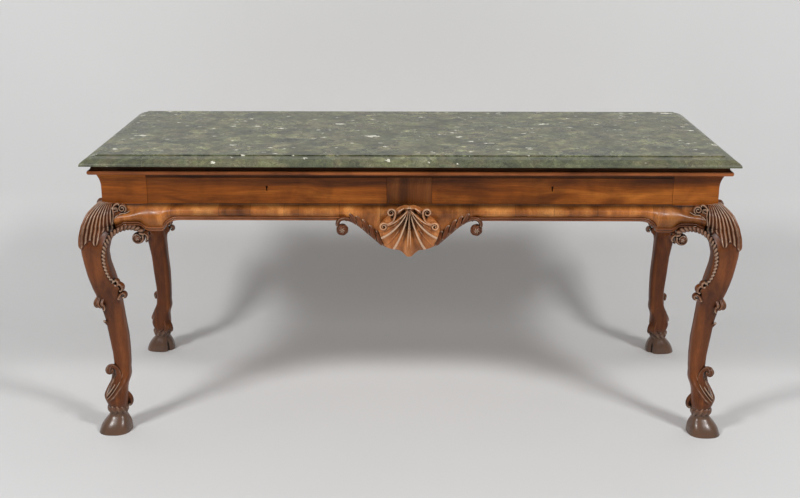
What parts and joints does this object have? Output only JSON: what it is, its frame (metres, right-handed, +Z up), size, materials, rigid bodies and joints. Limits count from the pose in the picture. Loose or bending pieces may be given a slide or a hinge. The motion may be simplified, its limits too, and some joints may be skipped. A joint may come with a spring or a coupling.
{
  "type": "pier table",
  "caption": "Long marble-topped side table with frieze drawers that slide out, a shaped apron with a carved shell, and carved cabriole legs on hoof feet.",
  "frame": {"origin": "on the floor, under the middle of the table", "axes": "+X along the length to the right, +Y to the back, +Z up"},
  "size_m": [1.87, 0.79, 0.84],
  "materials": {
    "marble": "polished dark green-grey veined marble",
    "frieze_veneer": "french-polished reddish brown veneer, lengthways grain",
    "moulding_walnut": "polished solid moulding",
    "cross_veneer": "polished cross-grain veneer",
    "carved_walnut": "dark polished carving with worn highlights",
    "carcass_pine": "unpolished aged softwood",
    "drawer_oak": "planed oak, unpolished",
    "brass": "aged brass",
    "iron": "dull wrought iron"
  },
  "bodies": {
    "frame": {"apron_bead_front": "carved_walnut", "apron_bead_left": "carved_walnut", "apron_bead_right": "carved_walnut", "apron_front": "cross_veneer", "apron_left": "cross_veneer", "apron_right": "cross_veneer", "back_rail": "carcass_pine", "center_runner": "carcass_pine", "cornice_front": "moulding_walnut", "cornice_left": "moulding_walnut", "cornice_right": "moulding_walnut", "drawer_runner_left": "carcass_pine", "drawer_runner_right": "carcass_pine", "drawer_stops": "carcass_pine", "ear_back_left_long": "carved_walnut", "ear_back_left_short": "carved_walnut", "ear_back_right_long": "carved_walnut", "ear_back_right_short": "carved_walnut", "ear_front_left_long": "carved_walnut", "ear_front_left_short": "carved_walnut", "ear_front_right_long": "carved_walnut", "ear_front_right_short": "carved_walnut", "front_center_stile": "frieze_veneer", "front_end_stile_left": "frieze_veneer", "front_end_stile_right": "frieze_veneer", "front_top_rail": "frieze_veneer", "kicker_left": "carcass_pine", "kicker_right": "carcass_pine", "leg_back_left": "carved_walnut", "leg_back_right": "carved_walnut", "leg_front_left": "carved_walnut", "leg_front_right": "carved_walnut", "marble_top": "marble", "shell_carving": "carved_walnut", "shell_leaf_left": "carved_walnut", "shell_leaf_right": "carved_walnut", "side_facing_left": "frieze_veneer", "side_facing_right": "frieze_veneer", "side_rail_left": "carcass_pine", "side_rail_right": "carcass_pine", "tenon_pegs": "carcass_pine", "top_bearer_center": "carcass_pine"},
    "drawer_left": {"drawer_left_back": "drawer_oak", "drawer_left_bottom": "drawer_oak", "drawer_left_front": "frieze_veneer", "drawer_left_inner_side": "drawer_oak", "drawer_left_lock_case": "brass", "drawer_left_lock_screws": "iron", "drawer_left_outer_side": "drawer_oak"},
    "drawer_right": {"drawer_right_back": "drawer_oak", "drawer_right_bottom": "drawer_oak", "drawer_right_front": "frieze_veneer", "drawer_right_inner_side": "drawer_oak", "drawer_right_lock_case": "brass", "drawer_right_lock_screws": "iron", "drawer_right_outer_side": "drawer_oak"},
    "bolt_left": {"drawer_left_lock_bolt": "iron"},
    "bolt_right": {"drawer_right_lock_bolt": "iron"}
  },
  "joints": [
    {"name": "drawer_left_slide", "type": "slide", "parent": "frame", "child": "drawer_left", "axis": [0, -1, 0], "range_m": [0, 0.4]},
    {"name": "drawer_right_slide", "type": "slide", "parent": "frame", "child": "drawer_right", "axis": [0, -1, 0], "range_m": [0, 0.4]},
    {"name": "bolt_left_throw", "type": "slide", "parent": "drawer_left", "child": "bolt_left", "axis": [0, 0, 1], "range_m": [0, 0.008]},
    {"name": "bolt_right_throw", "type": "slide", "parent": "drawer_right", "child": "bolt_right", "axis": [0, 0, 1], "range_m": [0, 0.008]}
  ]
}
